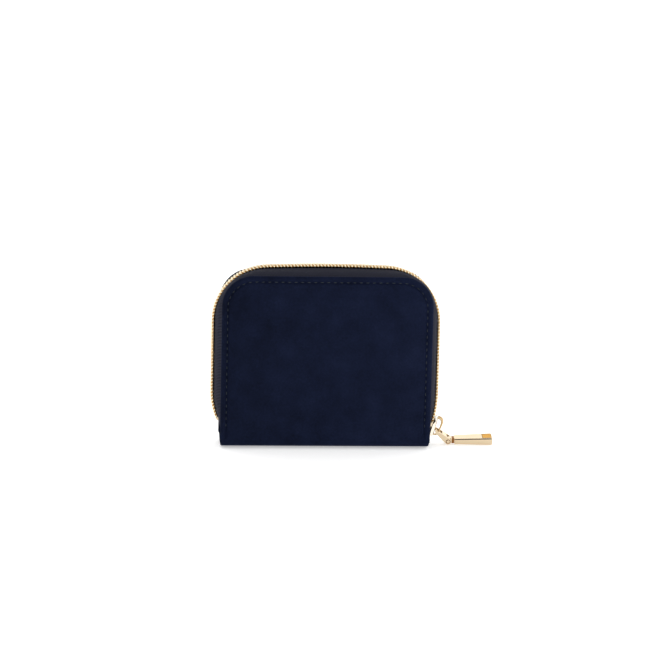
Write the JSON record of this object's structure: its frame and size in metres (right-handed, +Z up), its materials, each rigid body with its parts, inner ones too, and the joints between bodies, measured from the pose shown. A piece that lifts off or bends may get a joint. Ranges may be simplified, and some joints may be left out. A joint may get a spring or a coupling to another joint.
{
  "type": "zip around wallet",
  "caption": "Small velvet wallet of two stiffened covers on a soft spine, closed by a metal-look coil zip round three sides, with a link and bar pull.",
  "frame": {"origin": "centre of the spine's underside, on the plane midway between the covers where the two rows of the zip meet", "axes": "+X right as the front cover is seen, +Y from the front cover to the back cover, +Z up from the spine to the top of the zip"},
  "size_m": [0.144, 0.024, 0.093],
  "materials": {
    "velvet": "short navy pile, matt with a soft sheen",
    "board": "grey-brown pressed board, matt",
    "lining": "navy satin, semi-matt",
    "pocket": "navy grained leatherette",
    "tape": "dark grey-violet woven tape, matt",
    "coil": "pale gold plated coil, glossy",
    "hardware": "pale gold plated die cast metal, polished",
    "inlay": "deep gold, satin"
  },
  "bodies": {
    "spine": {"spine_velvet": "velvet", "spine_stiffener": "board", "spine_lining": "lining"},
    "front_half": {"front_velvet": "velvet", "front_board": "board", "front_lining": "lining", "front_zip_tape": "tape", "front_zip_coil": "coil", "front_top_stop": "hardware", "front_bottom_stop": "hardware", "card_pocket_1": "pocket", "card_pocket_2": "pocket", "card_pocket_3": "pocket"},
    "back_half": {"back_velvet": "velvet", "back_board": "board", "back_lining": "lining", "back_zip_tape": "tape", "back_zip_coil": "coil", "back_top_stop": "hardware", "back_bottom_stop": "hardware", "note_pocket": "pocket", "coin_pocket": "pocket"},
    "slider": {"slider_body": "hardware", "slider_crown": "hardware"},
    "link": {"pull_link": "hardware", "pull_pin": "hardware"},
    "bar": {"pull_bar": "hardware", "pull_inlay": "inlay"}
  },
  "joints": [
    {"name": "front_cover_hinge", "type": "hinge", "parent": "spine", "child": "front_half", "pos_m": [0, -0.012, 0.0022], "axis": [1, 0, 0], "range_deg": [0, 90]},
    {"name": "back_cover_hinge", "type": "hinge", "parent": "spine", "child": "back_half", "pos_m": [0, 0.012, 0.0022], "axis": [-1, 0, 0], "range_deg": [0, 90]},
    {"name": "slider_travel", "type": "hinge", "parent": "back_half", "child": "slider", "pos_m": [-0.013, 0, 0.0286], "axis": [0, -1, 0], "range_deg": [0, 15]},
    {"name": "link_swing", "type": "hinge", "parent": "slider", "child": "link", "pos_m": [0.0575, 0, 0.00733], "axis": [0, -0.9703, -0.2419], "range_deg": [-30, 40]},
    {"name": "bar_swing", "type": "hinge", "parent": "link", "child": "bar", "pos_m": [0.0636, 0.00125, 0.0023], "axis": [0, -0.9703, -0.2419], "range_deg": [-75, 55]}
  ]
}
